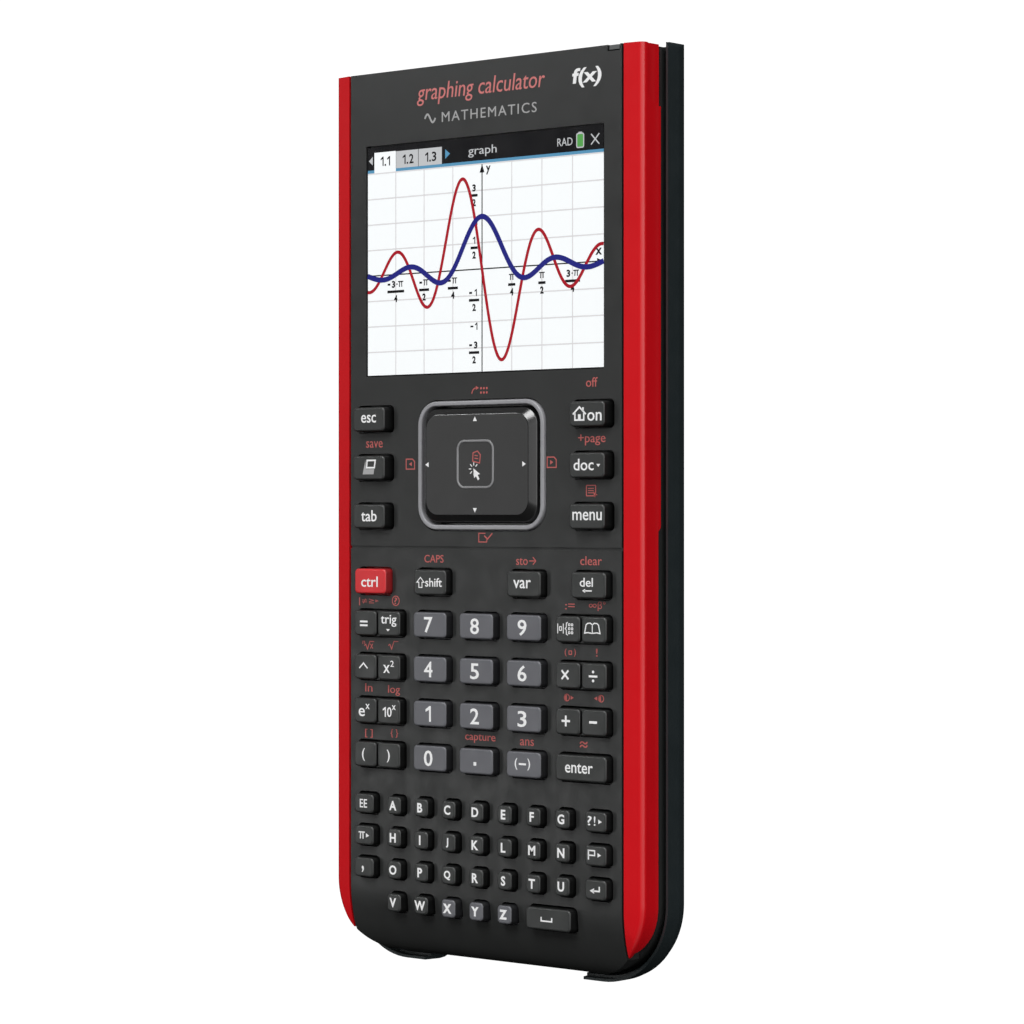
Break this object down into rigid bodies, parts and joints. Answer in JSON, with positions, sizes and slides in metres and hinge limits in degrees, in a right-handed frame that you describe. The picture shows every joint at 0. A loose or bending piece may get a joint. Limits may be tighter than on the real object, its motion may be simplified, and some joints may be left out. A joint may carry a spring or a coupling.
{
  "type": "graphing calculator",
  "caption": "Handheld graphing calculator with colour screen, touchpad, raised keys, red side trims and a hard slide cover stored on its back.",
  "frame": {"origin": "middle of the slide cover's flat outside face, which the calculator lies on", "axes": "+Z out of the keys, +Y along the length towards the screen end, +X to the right when reading it"},
  "size_m": [0.0872, 0.1894, 0.0173],
  "materials": {
    "case_black": "fine satin moulded plastic",
    "trim_red": "glossy moulded plastic",
    "cover_black": "satin moulded plastic, rubbed at the edges",
    "key_black": "satin key plastic",
    "key_grey": "satin key plastic, grey with a violet cast",
    "key_red": "satin key plastic, red",
    "pad_black": "fine matt touch surface",
    "ring_silver": "silver-grey paint",
    "window": "clear scratch-resistant window",
    "screen_white": "lit screen, white",
    "screen_dark": "screen, dark title bar",
    "screen_blue": "screen, light blue",
    "screen_grey": "screen, grey tabs and grid",
    "screen_green": "screen, battery level",
    "plot_red": "screen, red plot",
    "plot_blue": "screen, blue plot",
    "legend_white": "printed legend, white",
    "legend_red": "printed legend, light red",
    "steel": "stamped steel",
    "board_green": "green solder mask",
    "silicone": "translucent silicone",
    "battery_wrap": "battery film",
    "connector_black": "connector plastic",
    "light_pipe": "clear light pipe"
  },
  "bodies": {
    "calculator_body": {"front_case": "case_black", "rear_case": "case_black", "right_side_trim": "trim_red", "left_side_trim": "trim_red", "display_window": "window", "lcd_panel": "screen_white", "backlight_frame": "steel", "main_circuit_board": "board_green", "dome_sheet": "silicone", "touchpad_ring": "ring_silver", "battery_pack": "battery_wrap", "battery_door": "case_black", "battery_door_screw": "steel", "usb_socket": "steel", "dock_connector": "connector_black", "status_light_pipe": "light_pipe"},
    "slide_cover": {"slide_cover": "cover_black"},
    "touchpad": {"touchpad": "pad_black"},
    "key_esc": {"key_esc": "key_black"},
    "key_calculator": {"key_calculator": "key_black"},
    "key_tab": {"key_tab": "key_black"},
    "key_home_on": {"key_home_on": "key_black"},
    "key_doc": {"key_doc": "key_black"},
    "key_menu": {"key_menu": "key_black"},
    "key_ctrl": {"key_ctrl": "key_red"},
    "key_shift": {"key_shift": "key_black"},
    "key_var": {"key_var": "key_black"},
    "key_del": {"key_del": "key_black"},
    "key_0": {"key_0": "key_grey"},
    "key_1": {"key_1": "key_grey"},
    "key_2": {"key_2": "key_grey"},
    "key_3": {"key_3": "key_grey"},
    "key_4": {"key_4": "key_grey"},
    "key_5": {"key_5": "key_grey"},
    "key_6": {"key_6": "key_grey"},
    "key_7": {"key_7": "key_grey"},
    "key_8": {"key_8": "key_grey"},
    "key_9": {"key_9": "key_grey"},
    "key_point": {"key_point": "key_grey"},
    "key_negative": {"key_negative": "key_grey"},
    "key_enter": {"key_enter": "key_black"},
    "key_ee": {"key_ee": "key_black"},
    "key_pi": {"key_pi": "key_black"},
    "key_comma": {"key_comma": "key_black"},
    "key_punctuation": {"key_punctuation": "key_black"},
    "key_flag": {"key_flag": "key_black"},
    "key_return": {"key_return": "key_black"},
    "key_space": {"key_space": "key_black"},
    "letter_keys_A_to_G": {"letter_keys_A_to_G": "key_black"},
    "letter_keys_H_to_N": {"letter_keys_H_to_N": "key_black"},
    "letter_keys_O_to_U": {"letter_keys_O_to_U": "key_black"},
    "letter_keys_V_to_Z": {"letter_keys_V_to_Z": "key_black"},
    "key_equals_trig": {"key_equals_trig": "key_black"},
    "key_power_square": {"key_power_square": "key_black"},
    "key_exp_tenpower": {"key_exp_tenpower": "key_black"},
    "key_brackets": {"key_brackets": "key_black"},
    "key_template_catalogue": {"key_template_catalogue": "key_black"},
    "key_times_divide": {"key_times_divide": "key_black"},
    "key_plus_minus": {"key_plus_minus": "key_black"}
  },
  "joints": [
    {"name": "slide_cover_travel", "type": "slide", "parent": "calculator_body", "child": "slide_cover", "axis": [0, -1, 0], "range_m": [0, 0.165]},
    {"name": "touchpad_click", "type": "slide", "parent": "calculator_body", "child": "touchpad", "axis": [0, 0, -1], "range_m": [0, 0.0004], "stiffness_N_per_m": 800},
    {"name": "key_esc_press", "type": "slide", "parent": "calculator_body", "child": "key_esc", "axis": [0, 0, -1], "range_m": [0, 0.0007], "stiffness_N_per_m": 400},
    {"name": "key_calculator_press", "type": "slide", "parent": "calculator_body", "child": "key_calculator", "axis": [0, 0, -1], "range_m": [0, 0.0007], "stiffness_N_per_m": 400},
    {"name": "key_tab_press", "type": "slide", "parent": "calculator_body", "child": "key_tab", "axis": [0, 0, -1], "range_m": [0, 0.0007], "stiffness_N_per_m": 400},
    {"name": "key_home_on_press", "type": "slide", "parent": "calculator_body", "child": "key_home_on", "axis": [0, 0, -1], "range_m": [0, 0.0007], "stiffness_N_per_m": 400},
    {"name": "key_doc_press", "type": "slide", "parent": "calculator_body", "child": "key_doc", "axis": [0, 0, -1], "range_m": [0, 0.0007], "stiffness_N_per_m": 400},
    {"name": "key_menu_press", "type": "slide", "parent": "calculator_body", "child": "key_menu", "axis": [0, 0, -1], "range_m": [0, 0.0007], "stiffness_N_per_m": 400},
    {"name": "key_ctrl_press", "type": "slide", "parent": "calculator_body", "child": "key_ctrl", "axis": [0, 0, -1], "range_m": [0, 0.0007], "stiffness_N_per_m": 400},
    {"name": "key_shift_press", "type": "slide", "parent": "calculator_body", "child": "key_shift", "axis": [0, 0, -1], "range_m": [0, 0.0007], "stiffness_N_per_m": 400},
    {"name": "key_var_press", "type": "slide", "parent": "calculator_body", "child": "key_var", "axis": [0, 0, -1], "range_m": [0, 0.0007], "stiffness_N_per_m": 400},
    {"name": "key_del_press", "type": "slide", "parent": "calculator_body", "child": "key_del", "axis": [0, 0, -1], "range_m": [0, 0.0007], "stiffness_N_per_m": 400},
    {"name": "key_0_press", "type": "slide", "parent": "calculator_body", "child": "key_0", "axis": [0, 0, -1], "range_m": [0, 0.0007], "stiffness_N_per_m": 400},
    {"name": "key_1_press", "type": "slide", "parent": "calculator_body", "child": "key_1", "axis": [0, 0, -1], "range_m": [0, 0.0007], "stiffness_N_per_m": 400},
    {"name": "key_2_press", "type": "slide", "parent": "calculator_body", "child": "key_2", "axis": [0, 0, -1], "range_m": [0, 0.0007], "stiffness_N_per_m": 400},
    {"name": "key_3_press", "type": "slide", "parent": "calculator_body", "child": "key_3", "axis": [0, 0, -1], "range_m": [0, 0.0007], "stiffness_N_per_m": 400},
    {"name": "key_4_press", "type": "slide", "parent": "calculator_body", "child": "key_4", "axis": [0, 0, -1], "range_m": [0, 0.0007], "stiffness_N_per_m": 400},
    {"name": "key_5_press", "type": "slide", "parent": "calculator_body", "child": "key_5", "axis": [0, 0, -1], "range_m": [0, 0.0007], "stiffness_N_per_m": 400},
    {"name": "key_6_press", "type": "slide", "parent": "calculator_body", "child": "key_6", "axis": [0, 0, -1], "range_m": [0, 0.0007], "stiffness_N_per_m": 400},
    {"name": "key_7_press", "type": "slide", "parent": "calculator_body", "child": "key_7", "axis": [0, 0, -1], "range_m": [0, 0.0007], "stiffness_N_per_m": 400},
    {"name": "key_8_press", "type": "slide", "parent": "calculator_body", "child": "key_8", "axis": [0, 0, -1], "range_m": [0, 0.0007], "stiffness_N_per_m": 400},
    {"name": "key_9_press", "type": "slide", "parent": "calculator_body", "child": "key_9", "axis": [0, 0, -1], "range_m": [0, 0.0007], "stiffness_N_per_m": 400},
    {"name": "key_point_press", "type": "slide", "parent": "calculator_body", "child": "key_point", "axis": [0, 0, -1], "range_m": [0, 0.0007], "stiffness_N_per_m": 400},
    {"name": "key_negative_press", "type": "slide", "parent": "calculator_body", "child": "key_negative", "axis": [0, 0, -1], "range_m": [0, 0.0007], "stiffness_N_per_m": 400},
    {"name": "key_enter_press", "type": "slide", "parent": "calculator_body", "child": "key_enter", "axis": [0, 0, -1], "range_m": [0, 0.0007], "stiffness_N_per_m": 400},
    {"name": "key_ee_press", "type": "slide", "parent": "calculator_body", "child": "key_ee", "axis": [0, 0, -1], "range_m": [0, 0.0007], "stiffness_N_per_m": 400},
    {"name": "key_pi_press", "type": "slide", "parent": "calculator_body", "child": "key_pi", "axis": [0, 0, -1], "range_m": [0, 0.0007], "stiffness_N_per_m": 400},
    {"name": "key_comma_press", "type": "slide", "parent": "calculator_body", "child": "key_comma", "axis": [0, 0, -1], "range_m": [0, 0.0007], "stiffness_N_per_m": 400},
    {"name": "key_punctuation_press", "type": "slide", "parent": "calculator_body", "child": "key_punctuation", "axis": [0, 0, -1], "range_m": [0, 0.0007], "stiffness_N_per_m": 400},
    {"name": "key_flag_press", "type": "slide", "parent": "calculator_body", "child": "key_flag", "axis": [0, 0, -1], "range_m": [0, 0.0007], "stiffness_N_per_m": 400},
    {"name": "key_return_press", "type": "slide", "parent": "calculator_body", "child": "key_return", "axis": [0, 0, -1], "range_m": [0, 0.0007], "stiffness_N_per_m": 400},
    {"name": "key_space_press", "type": "slide", "parent": "calculator_body", "child": "key_space", "axis": [0, 0, -1], "range_m": [0, 0.0007], "stiffness_N_per_m": 400},
    {"name": "letter_keys_A_to_G_press", "type": "slide", "parent": "calculator_body", "child": "letter_keys_A_to_G", "axis": [0, 0, -1], "range_m": [0, 0.0007], "stiffness_N_per_m": 400},
    {"name": "letter_keys_H_to_N_press", "type": "slide", "parent": "calculator_body", "child": "letter_keys_H_to_N", "axis": [0, 0, -1], "range_m": [0, 0.0007], "stiffness_N_per_m": 400},
    {"name": "letter_keys_O_to_U_press", "type": "slide", "parent": "calculator_body", "child": "letter_keys_O_to_U", "axis": [0, 0, -1], "range_m": [0, 0.0007], "stiffness_N_per_m": 400},
    {"name": "letter_keys_V_to_Z_press", "type": "slide", "parent": "calculator_body", "child": "letter_keys_V_to_Z", "axis": [0, 0, -1], "range_m": [0, 0.0007], "stiffness_N_per_m": 400},
    {"name": "key_equals_trig_rock", "type": "hinge", "parent": "calculator_body", "child": "key_equals_trig", "pos_m": [-0.028, -0.023, 0.0122], "axis": [0, 1, 0], "range_deg": [-4, 4], "stiffness_Nm_per_rad": 0.05},
    {"name": "key_power_square_rock", "type": "hinge", "parent": "calculator_body", "child": "key_power_square", "pos_m": [-0.028, -0.0323, 0.0122], "axis": [0, 1, 0], "range_deg": [-4, 4], "stiffness_Nm_per_rad": 0.05},
    {"name": "key_exp_tenpower_rock", "type": "hinge", "parent": "calculator_body", "child": "key_exp_tenpower", "pos_m": [-0.028, -0.0416, 0.0122], "axis": [0, 1, 0], "range_deg": [-4, 4], "stiffness_Nm_per_rad": 0.05},
    {"name": "key_brackets_rock", "type": "hinge", "parent": "calculator_body", "child": "key_brackets", "pos_m": [-0.028, -0.0509, 0.0122], "axis": [0, 1, 0], "range_deg": [-4, 4], "stiffness_Nm_per_rad": 0.05},
    {"name": "key_template_catalogue_rock", "type": "hinge", "parent": "calculator_body", "child": "key_template_catalogue", "pos_m": [0.028, -0.023, 0.0122], "axis": [0, 1, 0], "range_deg": [-4, 4], "stiffness_Nm_per_rad": 0.05},
    {"name": "key_times_divide_rock", "type": "hinge", "parent": "calculator_body", "child": "key_times_divide", "pos_m": [0.028, -0.0323, 0.0122], "axis": [0, 1, 0], "range_deg": [-4, 4], "stiffness_Nm_per_rad": 0.05},
    {"name": "key_plus_minus_rock", "type": "hinge", "parent": "calculator_body", "child": "key_plus_minus", "pos_m": [0.028, -0.0416, 0.0122], "axis": [0, 1, 0], "range_deg": [-4, 4], "stiffness_Nm_per_rad": 0.05}
  ]
}
